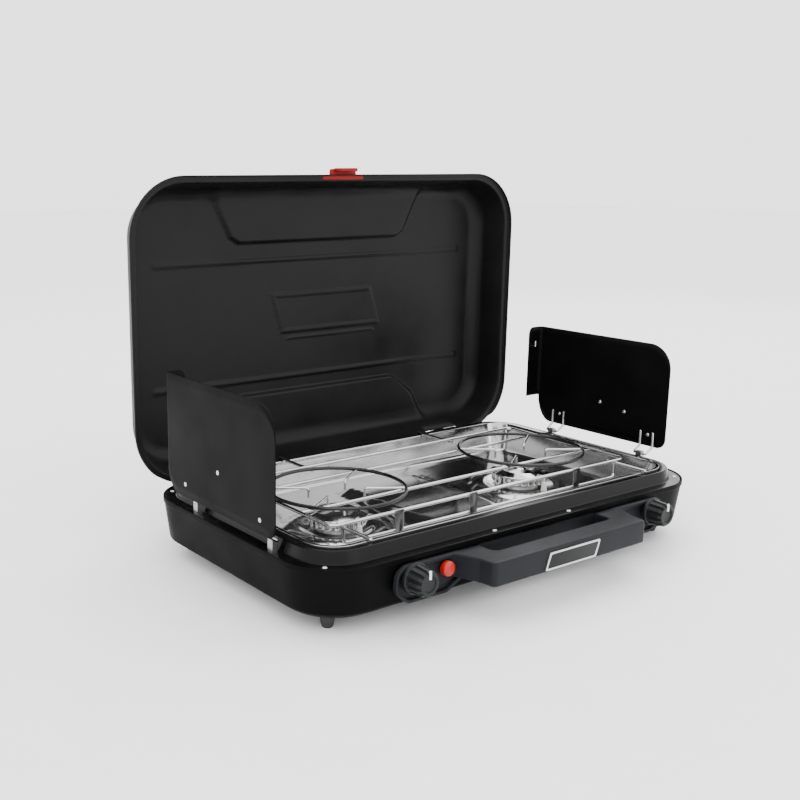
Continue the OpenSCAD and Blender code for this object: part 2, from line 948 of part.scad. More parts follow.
// Turned-down edge along the front and sides.
module lid_lip() {
    keep = lid_d - 2 * lid_r;
    intersection() {
        sweep_round(lid_w, lid_d, lid_r)
            polygon([[0, lid_z - lid_lip], [0, lid_z + sheet], [-sheet, lid_z + sheet],
                     [-sheet, lid_z - lid_lip]]);
        translate([-lid_w, -lid_d, lid_z - 10])
            cube([2 * lid_w, lid_d + keep / 2 - 8, 20]);
    }
}

// ---------------------------------------------------------------- lid hinge

// Knuckles along the hinge axis: the lid has the middle one, the base the outer two.
module knuckle(x, len, bore) {
    translate([x - len / 2, hinge_y, hinge_z])
        rotate([0, 90, 0])
            difference() {
                cylinder(h = len, r = knuckle_r);
                translate([0, 0, -1])
                    cylinder(h = len + 2, d = bore);
            }
}

module base_hinge_leaves() {
    pitch = knuckle_len + 0.6;
    color("#3a3a3c")
        for (x = [-hinge_x, hinge_x])
            for (k = [-1, 1]) {
                knuckle(x + k * pitch, knuckle_len, hinge_pin_d);
                difference() {
                    translate([x + k * pitch - knuckle_len / 2, hinge_y + knuckle_r - 1.4,
                               hinge_z - leaf_len])
                        cube([knuckle_len, 1.4, leaf_len]);
                    translate([x - 40, hinge_y, hinge_z])
                        rotate([0, 90, 0])
                            cylinder(h = 80, r = knuckle_r - 0.2);
                }
                translate([x + k * pitch - knuckle_len / 2, back_y + slack,
                           hinge_z - leaf_len])
                    cube([knuckle_len, hinge_y + knuckle_r - back_y - slack, 8]);
            }
}

module base_hinge_rivets() {
    color("#9a9c9e")
        for (x = [-hinge_x, hinge_x], k = [-1, 1])
            translate([x + k * (knuckle_len + 0.6), hinge_y + knuckle_r,
                       hinge_z - leaf_len + 4])
                rotate([-90, 0, 0])
                    cylinder(h = 1.4, d1 = 6, d2 = 4, $fn = 32);
}

module lid_hinge_pins() {
    color("#c9cacc")
        for (x = [-hinge_x, hinge_x])
            translate([x - leaf_w / 2 - 1, hinge_y, hinge_z])
                rotate([0, 90, 0])
                    cylinder(h = leaf_w + 2, d = hinge_pin_d);
}

module lid_hinge_leaves() {
    color("#3a3a3c")
        open_lid()
            for (x = [-hinge_x, hinge_x]) {
                knuckle(x, knuckle_len, hinge_pin_d + 2 * run_fit);
                difference() {
                    translate([x - knuckle_len / 2, hinge_y - 1.2, hinge_z + 1])
                        cube([knuckle_len, 1.3, leaf_len]);
                    translate([x - 20, hinge_y, hinge_z])
                        rotate([0, 90, 0])
                            cylinder(h = 40, r = knuckle_r - 0.2);
                }
            }
}

module lid_hinge_rivets() {
    color("#9a9c9e")
        open_lid()
            for (x = [-hinge_x, hinge_x])
                translate([x, hinge_y + 0.1, hinge_z + leaf_len - 4])
                    rotate([-90, 0, 0])
                        cylinder(h = 1.4, d1 = 6, d2 = 4, $fn = 32);
}

// ---------------------------------------------------------------- latch

module latch_lugs() {
    color("#262628")
        open_lid()
            for (x = [-1, 1])
                translate([x * (latch_w / 2 + 3.5), 0, 0])
                    difference() {
                        translate([-1.5, latch_y, lid_z + sheet])
                            cube([3, 6.5, latch_pin_z - lid_z - sheet + 3]);
                        translate([-5, latch_pin_y, latch_pin_z])
                            rotate([0, 90, 0])
                                cylinder(h = 10, d = latch_pin_d);
                    }
}

module latch_pin() {
    color("#c9cacc")
        open_lid()
            translate([-latch_w / 2 - 6, latch_pin_y, latch_pin_z])
                rotate([0, 90, 0])
                    cylinder(h = latch_w + 12, d = latch_pin_d);
}

// Lever on its pin: a leg with a claw that swings under the keeper, and a pull tab.
module latch_lever() {
    leg_y = latch_pin_y - leg_t / 2;
    low = claw_top - claw_h;
    color("#b32320")
        open_lid()
            difference() {
                union() {
                    translate([-latch_w / 2, latch_pin_y, latch_pin_z])
                        rotate([0, 90, 0])
                            cylinder(h = latch_w, d = 6);
                    translate([-latch_w / 2, leg_y, lid_z - 1])
                        cube([latch_w, leg_t, latch_pin_z - lid_z + 1]);
                    translate([-claw_w / 2, leg_y, low])
                        cube([claw_w, leg_t, latch_pin_z - low]);
                    translate([-claw_w / 2, leg_y, low])
                        cube([claw_w, leg_t + 1, claw_h]);
                    translate([-latch_tab_w / 2, leg_y - 9, lid_z - 1])
                        cube([latch_tab_w, 9 + eps, 3.5]);
                }
                translate([-latch_w, latch_pin_y, latch_pin_z])
                    rotate([0, 90, 0])
                        cylinder(h = 2 * latch_w, d = latch_pin_d + 2 * run_fit);
            }
}

// Strip on the front wall whose lip the claw catches.
module latch_keeper() {
    wall = front_y + band_step;
    ear_w = 8;
    color("#3a3a3c") {
        translate([-claw_w / 2 - ear_w, keeper_y, keeper_z])
            cube([claw_w + 2 * ear_w, wall + 0.4 - keeper_y, 1.5]);
        for (x = [-1, 1])
            difference() {
                translate([x * (claw_w + ear_w) / 2 - ear_w / 2 + x * 1, keeper_y, keeper_z - 9])
                    cube([ear_w - 2, wall + 0.4 - keeper_y, 9.5]);
                translate([x * (claw_w + ear_w) / 2, front_y - 10, keeper_z - 5])
                    rotate([-90, 0, 0])
                        cylinder(h = 20, d = 3, $fn = 24);
            }
    }
}

// ---------------------------------------------------------------- wind panels

// All panel pieces are drawn on the left side and mirrored for the right.

module panel_outline() {
    rotate([90, 0, -90])
        linear_extrude(panel_t) {
            // drawn with x towards the front
            translate([-panel_rear, 0])
                square([panel_len, panel_h - panel_r]);
            translate([-panel_rear, 0])
                square([panel_len - panel_r, panel_h]);
            translate([-panel_front - panel_r, panel_h - panel_r])
                circle(panel_r);
        }
}

module wind_panel(side) {
    color("#1d1d1f")
        on_side(side)
            difference() {
                union() {
                    translate([-panel_x, 0, panel_z])
                        panel_outline();
                    translate([-panel_x - panel_t, panel_rear - panel_t, panel_z + strip_low])
                        cube([strip_len, panel_t, panel_h - strip_low]);
                }
                clip_places() rotate([0, 90, 0]) cylinder(h = 10, d = 3, center = true, $fn = 24);
                // finger hole near the top
                translate([-panel_x, panel_front + 20, panel_z + 22])
                    rotate([0, 90, 0])
                        cylinder(h = 10, d = 4, center = true);
            }
}

module clip_places() {
    for (y = hinge_ys)
        translate([-panel_x, y, panel_z + 14]) children();
}

// Each hinge wire is a loop: a pivot rod in its bracket, two arms out to the panel and
// two legs up its inner face.
module panel_wires(side) {
    inner = -panel_x + wire_d * bend_swell / 2 + 0.05;
    color("#d9dadc")
        on_side(side)
            for (y = hinge_ys)
                wire([[inner, y - arm_half, panel_z + 18], [inner, y - arm_half, panel_z + 4],
                      [-pivot_x, y - arm_half, pivot_z], [-pivot_x, y + arm_half, pivot_z],
                      [inner, y + arm_half, panel_z + 4], [inner, y + arm_half, panel_z + 18]],
                     wire_d);
}

module panel_clips(side) {
    color("#c9cacc")
        on_side(side)
            clip_places() {
                translate([wire_d, 0, 0])
                    cube([1, 2 * arm_half + wire_d + 6, 8], center = true);
                translate([-panel_t, 0, 0])
                    rotate([0, -90, 0])
                        cylinder(h = 1.2, d1 = 5, d2 = 3.4, $fn = 32);
                translate([-panel_t, 0, 0])
                    rotate([0, 90, 0])
                        cylinder(h = panel_t + wire_d, d = 3, $fn = 24);
            }
}

// Wire hook on the strip, near the top.
module panel_hook(side) {
    y = panel_rear - panel_t - 1;
    x = -panel_x + strip_len - 12;
    z = panel_z + panel_h - 24;
    color("#d9dadc")
        on_side(side)
            wire([[x - 6, y, z], [x + 8, y, z], [x + 8, y - 8, z], [x + 8, y - 8, z + 7]], 2);
}

// Brackets on the ledge that hold the pivot rods.
module panel_brackets() {
    color("#9a9c9e")
        for (side = [-1, 1])
            on_side(side)
                for (y = hinge_ys)
                    difference() {
                        translate([-pivot_x - 3, y - 4, flange_top])
                            cube([6, 8, pivot_z + 2.8 - flange_top]);
                        translate([-pivot_x, y - 20, pivot_z])
                            rotate([-90, 0, 0])
                                cylinder(h = 40, d = wire_d + 2 * run_fit);
                    }
}

// ---------------------------------------------------------------- assembly

base_pan();
deck();
drip_tray();
front_fascia();
handle_badge();
feet();
deck_screws();
latch_keeper();
base_hinge_leaves();
base_hinge_rivets();
lid_hinge_pins();
panel_brackets();
burner_cup(-1);  // burner_cup_left
burner_cup(1);  // burner_cup_right
burner_head(-1);  // burner_head_left
burner_head(1);  // burner_head_right
burner_cap(-1);  // burner_cap_left
burner_cap(1);  // burner_cap_right
venturi(-1);  // venturi_left
venturi(1);  // venturi_right
valve_body(-knob_x);  // valve_body_left
valve_body(knob_x);  // valve_body_right
manifold_pipe();
gas_inlet();
igniter_body();
electrode(-1);  // electrode_left
electrode(1);  // electrode_right
ignition_leads();
grate_rails();
grate_ring(-1);  // grate_ring_left
grate_ring(1);  // grate_ring_right
grate_straps();
grate_legs();
lid_shell();
lid_hinge_leaves();
lid_hinge_rivets();
latch_lugs();
latch_pin();
latch_lever();
wind_panel(-1);  // left_panel
panel_wires(-1);  // left_panel_wires
panel_clips(-1);  // left_panel_clips
panel_hook(-1);  // left_panel_hook
wind_panel(1);  // right_panel
panel_wires(1);  // right_panel_wires
panel_clips(1);  // right_panel_clips
panel_hook(1);  // right_panel_hook
knob(-knob_x);  // left_knob
knob_pointer(-knob_x);  // left_knob_pointer
valve_stem(-knob_x);  // left_valve_stem
knob(knob_x);  // right_knob
knob_pointer(knob_x);  // right_knob_pointer
valve_stem(knob_x);  // right_valve_stem
igniter_button();
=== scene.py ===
"""Two-burner clamshell camping stove: visual pieces, materials, light and camera.

Sizes in this file are millimetres and are turned into metres where a mesh is made. Every
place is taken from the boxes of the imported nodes.
"""

import math

import bmesh
import bpy
from mathutils import Matrix, Vector


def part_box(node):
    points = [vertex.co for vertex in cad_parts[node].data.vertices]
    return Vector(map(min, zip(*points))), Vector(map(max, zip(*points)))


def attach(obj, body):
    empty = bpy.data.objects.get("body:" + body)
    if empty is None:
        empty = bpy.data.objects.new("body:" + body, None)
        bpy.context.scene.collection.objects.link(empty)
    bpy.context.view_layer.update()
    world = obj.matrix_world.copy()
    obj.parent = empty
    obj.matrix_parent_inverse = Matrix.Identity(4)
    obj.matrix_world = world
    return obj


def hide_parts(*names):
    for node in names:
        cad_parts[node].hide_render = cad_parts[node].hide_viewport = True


MM = 0.001
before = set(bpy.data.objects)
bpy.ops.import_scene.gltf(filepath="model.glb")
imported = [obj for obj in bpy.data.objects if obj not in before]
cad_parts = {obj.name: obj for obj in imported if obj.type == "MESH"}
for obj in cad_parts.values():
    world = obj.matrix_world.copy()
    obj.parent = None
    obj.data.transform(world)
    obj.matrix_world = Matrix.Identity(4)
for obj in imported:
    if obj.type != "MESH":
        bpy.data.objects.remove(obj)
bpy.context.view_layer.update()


# ------------------------------------------------------------------ places and sizes


def box_mm(node):
    """Lowest and highest corner of a node in millimetres."""
    low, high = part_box(node)
    return [v / MM for v in low], [v / MM for v in high]


BASE_LO, BASE_HI = box_mm("base_pan")
DECK_LO, DECK_HI = box_mm("deck")
TRAY_LO, TRAY_HI = box_mm("drip_tray")
LID_LO, LID_HI = box_mm("lid_shell")
FASCIA_LO, FASCIA_HI = box_mm("front_fascia")
RAIL_LO, RAIL_HI = box_mm("grate_rails")
BADGE_LO, BADGE_HI = box_mm("handle_badge")
LEVER_LO, LEVER_HI = box_mm("latch_lever")
BUTTON_LO, BUTTON_HI = box_mm("igniter_button")

BASE_W = BASE_HI[0] - BASE_LO[0]
BASE_D = BASE_HI[1] - BASE_LO[1]
RIM_Z = BASE_HI[2]
FLOOR_Z = BASE_LO[2]
FRONT_Y = BASE_LO[1]
CORNER_R = 60
DECK_Z = DECK_HI[2]
LEDGE_Z = RIM_Z - 0.8
LID_W = LID_HI[0] - LID_LO[0]
LID_H = LID_HI[2] - LID_LO[2]
LID_MID_Z = (LID_HI[2] + LID_LO[2]) / 2
LID_R = 68
LID_ROWS = 110
TRAY_ROWS = 60
HINGE_NOTCH = 52
HINGE_CLEAR = 8
KNOB_LOBES = 12
CAMERA_PLACE = (-0.8097, -0.8772, 0.4247)
CAMERA_PITCH = 12.36
CAMERA_YAW = 34.65
CAMERA_LENS = 48.17
CAMERA_SHIFT = 0.1456
WORLD_LIGHT = 2.6


def middle(node):
    """Centre of a node's box in millimetres."""
    low, high = box_mm(node)
    return [(a + b) / 2 for a, b in zip(low, high)]


# ------------------------------------------------------------------ materials


def node_in(tree, kind, **values):
    """A new shader node with its inputs set by name."""
    node = tree.nodes.new(kind)
    for key, value in values.items():
        node.inputs[key.replace("_", " ")].default_value = value
    return node


def material(name, dark, light, rough, metal=0.0, grain=900.0, bump=0.1, wide=18.0,
             rough_swing=0.08, stretch=(1, 1, 1), coat=0.0, specular=0.5):
    """A surface whose tone, roughness and relief all come from noise in object space.

    dark and light are the ends of the tone, grain is the fine noise's scale in 1/m,
    wide the scale of the slow change, and stretch draws the grain out for brushed metal.
    """
    mat = bpy.data.materials.new(name)
    mat.use_nodes = True
    tree = mat.node_tree
    shader = tree.nodes["Principled BSDF"]
    shader.inputs["Metallic"].default_value = metal
    shader.inputs["Coat Weight"].default_value = coat
    shader.inputs["Specular IOR Level"].default_value = specular
    link = tree.links.new
    coords = tree.nodes.new("ShaderNodeTexCoord")
    mapping = node_in(tree, "ShaderNodeMapping", Scale=stretch)
    link(coords.outputs["Object"], mapping.inputs["Vector"])
    fine = node_in(tree, "ShaderNodeTexNoise", Scale=grain, Detail=3.0)
    slow = node_in(tree, "ShaderNodeTexNoise", Scale=wide, Detail=4.0)
    link(mapping.outputs["Vector"], fine.inputs["Vector"])
    link(coords.outputs["Object"], slow.inputs["Vector"])
    ramp = tree.nodes.new("ShaderNodeValToRGB")
    ramp.color_ramp.elements[0].color = (*dark, 1)
    ramp.color_ramp.elements[0].position = 0.3
    ramp.color_ramp.elements[1].color = (*light, 1)
    ramp.color_ramp.elements[1].position = 0.7
    link(slow.outputs["Fac"], ramp.inputs["Fac"])
    link(ramp.outputs["Color"], shader.inputs["Base Color"])
    spread = tree.nodes.new("ShaderNodeMapRange")
    spread.inputs["From Min"].default_value = 0.3
    spread.inputs["From Max"].default_value = 0.7
    spread.inputs["To Min"].default_value = max(0.02, rough - rough_swing)
    spread.inputs["To Max"].default_value = rough + rough_swing
    link(slow.outputs["Fac"], spread.inputs["Value"])
    link(spread.outputs["Result"], shader.inputs["Roughness"])
    relief = node_in(tree, "ShaderNodeBump", Strength=bump, Distance=0.0003)
    link(fine.outputs["Fac"], relief.inputs["Height"])
    link(relief.outputs["Normal"], shader.inputs["Normal"])
    return mat


def grey(value):
    """A neutral colour."""
    return (value, value, value)


PAINT = material("black_paint", grey(0.0012), grey(0.0022), 0.5, grain=1400, bump=0.12, specular=0.04)
# Same black paint as the base, about three times lighter on the lid: painted light for the brighter,
# top-lit lid interior.
LID_PAINT_LIT = material("lid_paint_lit", grey(0.004), grey(0.0065), 0.36, grain=1400, bump=0.18, specular=0.12)
PANEL_PAINT = material("panel_paint", grey(0.0014), grey(0.0024), 0.5, grain=1400, bump=0.12, specular=0.05)
DECK_PAINT = material("deck_paint", grey(0.002), grey(0.003), 0.22, grain=1400, bump=0.05,
                      specular=0.12)
PLASTIC = material("moulded_plastic", (0.005, 0.006, 0.0075), (0.008, 0.009, 0.011), 0.5,
                   grain=2600, bump=0.35, specular=0.14)
KNOB_PLASTIC = material("knob_plastic", (0.004, 0.005, 0.005), (0.007, 0.009, 0.009), 0.38,
                        grain=2600, bump=0.2, specular=0.2)
MIRROR = material("polished_steel", grey(0.40), grey(0.5), 0.13, 1.0, grain=900, bump=0.02,
                  wide=9, rough_swing=0.05, stretch=(1, 6, 1))
CHROME = material("chrome", grey(0.46), grey(0.6), 0.1, 1.0, grain=400, bump=0.03,
                  rough_swing=0.04)
DARK_WIRE = material("dark_wire", grey(0.03), grey(0.05), 0.28, 0.9, grain=500, bump=0.05)
STEEL = material("plain_steel", grey(0.3), grey(0.42), 0.35, 1.0, grain=700, bump=0.1)
BRASS = material("brass", (0.42, 0.27, 0.09), (0.55, 0.38, 0.15), 0.32, 1.0, grain=700)
ALUMINIUM = material("badge_metal", grey(0.5), grey(0.62), 0.28, 1.0, grain=900, bump=0.1,
                     stretch=(0.1, 1, 1))
RED = material("red_plastic", (0.30, 0.006, 0.004), (0.38, 0.010, 0.006), 0.34, grain=1800,
               bump=0.08, coat=0.1, specular=0.3)
LATCH_RED = material("latch_red", (0.17, 0.002, 0.002), (0.22, 0.003, 0.003), 0.4,
                     grain=1800, bump=0.08, specular=0.15)
LEAD_RED = material("lead_insulation", (0.2, 0.01, 0.008), (0.3, 0.02, 0.012), 0.5)
WHITE = material("white_inlay", grey(0.7), grey(0.8), 0.45, grain=1800)
RUBBER = material("rubber", grey(0.009), grey(0.014), 0.62, grain=1600, bump=0.4)
CERAMIC = material("ceramic", (0.62, 0.6, 0.54), (0.74, 0.72, 0.66), 0.25)
FLOOR = material("studio_floor", grey(0.93), grey(0.95), 0.6, grain=40, bump=0.02)


# ------------------------------------------------------------------ mesh helpers


def put(name, verts, faces, mat, body, replaces=(), sharp=38, place=None):
    """Makes a piece from millimetre vertices and gives it to a body."""
    mesh = bpy.data.meshes.new(name)
    mesh.from_pydata([tuple(c * MM for c in v) for v in verts], [], faces)
    return finish_piece(name, mesh, mat, body, replaces, sharp, place)


def finish_piece(name, mesh, mat, body, replaces=(), sharp=38, place=None):
    """Cleans a mesh, shades it, places it and hands it to the frame."""
    bm = bmesh.new()
    bm.from_mesh(mesh)
    bmesh.ops.remove_doubles(bm, verts=bm.verts, dist=2e-6)
    bmesh.ops.dissolve_degenerate(bm, edges=bm.edges, dist=1e-6)
    if place is not None:
        bmesh.ops.transform(bm, matrix=place, verts=bm.verts)
    bmesh.ops.recalc_face_normals(bm, faces=bm.faces)
    bm.to_mesh(mesh)
    bm.free()
    mesh.materials.clear()
    mesh.materials.append(mat)
    mesh.shade_smooth()
    mesh.set_sharp_from_angle(angle=math.radians(sharp))
    obj = bpy.data.objects.new(name, mesh)
    bpy.context.scene.collection.objects.link(obj)
    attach(obj, body)
    if replaces:
        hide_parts(*replaces)
    return obj


def fillet(points, radii, steps=5, closed=False):
    """Rounds the corners of a 2D path. radii is one number or one for each point."""
    n = len(points)
    if not isinstance(radii, (list, tuple)):
        radii = [radii] * n
    out = []
    for i, p in enumerate(points):
        p = Vector(p)
        if radii[i] <= 0 or (not closed and i in (0, n - 1)):
            out.append(tuple(p))
            continue
        a, b = Vector(points[i - 1]) - p, Vector(points[(i + 1) % n]) - p
        turn = math.pi - a.angle(b)
        cut = min(radii[i] * math.tan(turn / 2), a.length * 0.49, b.length * 0.49)
        start, end = p + a.normalized() * cut, p + b.normalized() * cut
        for k in range(steps + 1):
            t = k / steps
            out.append(tuple((1 - t) ** 2 * start + 2 * t * (1 - t) * p + t ** 2 * end))
    return out


CORNER_STEPS = 14
ALONG_X = 40
ALONG_Y = 24


def ring(hw, hd, r, along_x=ALONG_X, along_y=ALONG_Y, steps=CORNER_STEPS):
    """Points of a rounded rectangle, always the same number in the same order."""
    r = max(r, 0)
    pts = []
    for k, (sx, sy) in enumerate(((1, 1), (-1, 1), (-1, -1), (1, -1))):
        cx, cy = sx * (hw - r), sy * (hd - r)
        for i in range(steps + 1):
            a = math.radians(90 * k + 90 * i / steps)
            pts.append((cx + r * math.cos(a), cy + r * math.sin(a)))
        nx, ny = [(-1, 1), (-1, -1), (1, -1), (1, 1)][k]
        ex, ey = nx * (hw - r), ny * (hd - r)
        a = math.radians(90 * (k + 1))
        tail = (ex + r * math.cos(a), ey + r * math.sin(a))
        head = pts[-1]
        count = along_x if k % 2 == 0 else along_y
        for i in range(1, count):
            t = i / count
            pts.append((head[0] + (tail[0] - head[0]) * t, head[1] + (tail[1] - head[1]) * t))
    return pts


def loft(rings, cap_first=False, cap_last=False, closed=True):
    """Vertices and faces that join rings of equal length."""
    n = len(rings[0])
    verts = [p for loop in rings for p in loop]
    faces = []
    for j in range(len(rings) - 1):
        for i in range(n if closed else n - 1):
            k = (i + 1) % n
            faces.append((j * n + i, j * n + k, (j + 1) * n + k, (j + 1) * n + i))
    if cap_first:
        faces.append(tuple(range(n - 1, -1, -1)))
    if cap_last:
        base = (len(rings) - 1) * n
        faces.append(tuple(range(base, base + n)))
    return verts, faces


def sweep(w, d, r, profile, height=None, **ends):
    """Sweeps a profile of (distance outside the outline, height) round an outline."""
    rings = []
    for s, z in profile:
        loop = ring(w / 2 + s, d / 2 + s, r + s)
        rings.append([(x, y, z + (height(x, y) if height else 0)) for x, y in loop])
    return loft(rings, **ends)


def lathe(profile, segments=64, bumps=None, cap=True):
    """Turns a profile of (radius, height) about Z. bumps(angle, radius, height) adds."""
    rings = []
    for rad, z in profile:
        loop = []
        for i in range(segments):
            a = 2 * math.pi * i / segments
            extra = bumps(a, rad, z) if bumps else 0
            loop.append(((rad + extra) * math.cos(a), (rad + extra) * math.sin(a), z))
        rings.append(loop)
    return loft(rings, cap_first=cap, cap_last=cap)


def bend_path(points, radius, steps=6):
    """A 3D path with its corners rounded."""
    return [Vector(p) for p in fillet([tuple(p) for p in points], radius, steps)]


def tube(path, r, closed=False, seg=12):
    """A round bar along a path of points."""
    path = [Vector(p) for p in path]
    n = len(path)
    rings = []
    normal = None
    for i, p in enumerate(path):
        if closed:
            t = path[(i + 1) % n] - path[i - 1]
        else:
            t = path[min(i + 1, n - 1)] - path[max(i - 1, 0)]
        t.normalize()
        if normal is None:
            normal = t.orthogonal().normalized()
        normal = (normal - t * normal.dot(t)).normalized()
        side = t.cross(normal)
        rings.append([tuple(p + r * (math.cos(a) * normal + math.sin(a) * side))
                      for a in (2 * math.pi * k / seg for k in range(seg))])
    if closed:
        rings.append(rings[0])
        return loft(rings)
    first, last = path[0] - (path[1] - path[0]).normalized() * r * 0.35, \
        path[-1] + (path[-1] - path[-2]).normalized() * r * 0.35
    head = [tuple(first + (Vector(v) - path[0]) * 0.6) for v in rings[0]]
    tail = [tuple(last + (Vector(v) - path[-1]) * 0.6) for v in rings[-1]]
    return loft([head] + rings + [tail], cap_first=True, cap_last=True)


def merge(parts):
    """Several (verts, faces) as one."""
    verts, faces = [], []
    for v, f in parts:
        base = len(verts)
        verts += v
        faces += [tuple(i + base for i in face) for face in f]
    return verts, faces


def moved(part, matrix):
    """A (verts, faces) with a matrix in millimetres applied."""
    return [tuple(matrix @ Vector(v)) for v in part[0]], part[1]


def slab(loops, thick, bevel=0.6, res=2):
    """A plate in the XY plane, centred on z = 0, with holes and rounded edges."""
    curve = bpy.data.curves.new("slab", "CURVE")
    curve.dimensions = "2D"
    curve.fill_mode = "BOTH"
    curve.extrude = thick / 2 - bevel
    curve.bevel_depth = bevel
    curve.bevel_resolution = res
    curve.offset = -bevel
    for loop in loops:
        spline = curve.splines.new("POLY")
        spline.points.add(len(loop) - 1)
        for point, xy in zip(spline.points, loop):
            point.co = (xy[0], xy[1], 0, 1)
        spline.use_cyclic_u = True
    holder = bpy.data.objects.new("slab", curve)
    bpy.context.scene.collection.objects.link(holder)
    graph = bpy.context.evaluated_depsgraph_get()
    mesh = bpy.data.meshes.new_from_object(holder.evaluated_get(graph))
    part = ([tuple(v.co) for v in mesh.vertices], [tuple(p.vertices) for p in mesh.polygons])
    bpy.data.objects.remove(holder)
    bpy.data.curves.remove(curve)
    bpy.data.meshes.remove(mesh)
    return part


def soft(edge, width):
    """0 outside, 1 inside, with a smooth change over width. edge is the depth inside."""
    t = min(max(edge / width + 0.5, 0), 1)
    return t * t * (3 - 2 * t)


def inside_poly(x, y, corners):
    """Depth of a point inside a convex polygon given anticlockwise."""
    depth = 1e9
    for i, (ax, ay) in enumerate(corners):
        bx, by = corners[(i + 1) % len(corners)]
        length = math.hypot(bx - ax, by - ay)
        depth = min(depth, ((bx - ax) * (y - ay) - (by - ay) * (x - ax)) / length)
    return depth


# ------------------------------------------------------------------ base


def base_pieces():
    """The painted pan, its feet and the ledge."""
    wall_top = RIM_Z - 5
    profile = fillet([(-1.4, LEDGE_Z - 1), (-1.4, RIM_Z), (0, RIM_Z), (0, wall_top),
                      (-1.2, wall_top - 1.2), (-6.5, FLOOR_Z + 6), (-15, FLOOR_Z),
                      (-24, FLOOR_Z)],
                     [0, 0.6, 0.6, 0.6, 0.6, 5, 9, 0], 5)
    inner = [(s - (1.2 if z < wall_top - 1 else 0), max(z, FLOOR_Z + 1.2))
             for s, z in reversed(profile) if z < wall_top - 1 or s < -1.3]
    outside = sweep(BASE_W, BASE_D, CORNER_R, profile, cap_last=True)
    inside = sweep(BASE_W, BASE_D, CORNER_R, inner, cap_first=True)
    put("base_shell", *merge([outside, inside]), PAINT, "base", ["base_pan"])
    foot = lathe(fillet([(3.5, 0), (5, 0), (6.4, 4), (8.3, 14.5), (10, 16), (5, 17)],
                        [0, 1, 1, 2, 1, 0], 4), 40)
    inset = [middle("feet")[0], middle("feet")[1]]
    low, high = box_mm("feet")
    half_x = (high[0] - low[0]) / 2 - 8.5
    half_y = (high[1] - low[1]) / 2 - 8.5
    feet = [moved(foot, Matrix.Translation((inset[0] + sx * half_x, inset[1] + sy * half_y, 0)))
            for sx in (-1, 1) for sy in (-1, 1)]
    put("feet_moulded", *merge(feet), RUBBER, "base", ["feet"])


def deck_pieces():
    """The black deck and the polished tray that hangs in it."""
    profile = fillet([(-2.4, LEDGE_Z - 1), (-2.4, LEDGE_Z), (-14.5, LEDGE_Z), (-17.5, DECK_Z),
                      (-31, DECK_Z), (-31, DECK_Z - 1)], [0, 0.6, 2, 2.4, 0.8, 0], 5)
    under = [(s - 1, z - 1) for s, z in reversed(profile[6:-6])]
    part = sweep(BASE_W, BASE_D, CORNER_R, profile + under + [profile[0]])
    put("deck_sheet", *part, DECK_PAINT, "base", ["deck"])
    floor = TRAY_LO[2]
    wall = [(-26.4, DECK_Z - 0.2), (-26.4, DECK_Z + 0.8), (-31.3, DECK_Z + 0.8),
            (-38.5, floor + 2), (-46, floor + 0.8), (-62, floor + 0.8)]
    profile = fillet(wall, [0, 0.4, 1.6, 5, 5, 0], 6)
    centres = [middle("burner_head_left")[:2], middle("burner_head_right")[:2]]

    def shape(x, y):
        rise = 0
        for cx, cy in centres:
            away = math.hypot(x - cx, y - cy)
            rise += 4.5 * soft(58 - away, 12) - 3 * soft(38 - away, 8)
        bridge = min(58 - abs(x), 92 - abs(y + 4))
        return rise + 7 * soft(bridge, 14)

    rings = []
    for s, z in profile:
        rings.append([(x, y, z) for x, y in ring(BASE_W / 2 + s, BASE_D / 2 + s, CORNER_R + s)])
    flat = ring(BASE_W / 2 - 62, BASE_D / 2 - 62, max(CORNER_R - 62, 0))
    for k in range(TRAY_ROWS - 1, 0, -1):
        scale = k / TRAY_ROWS
        rings.append([(x * scale, y * scale, floor + 0.8 + shape(x * scale, y * scale))
                      for x, y in flat])
    part = loft(rings, cap_last=True)
    obj = put("tray_pressed", *part, MIRROR, "base", ["drip_tray"], sharp=60)
    thicken(obj, -0.7)


def thicken(obj, amount):
    """Gives a sheet its thickness in millimetres, away from its normals if negative."""
    mod = obj.modifiers.new("sheet", "SOLIDIFY")
    mod.thickness = abs(amount) * MM
    mod.offset = 1 if amount > 0 else -1


# ------------------------------------------------------------------ lid


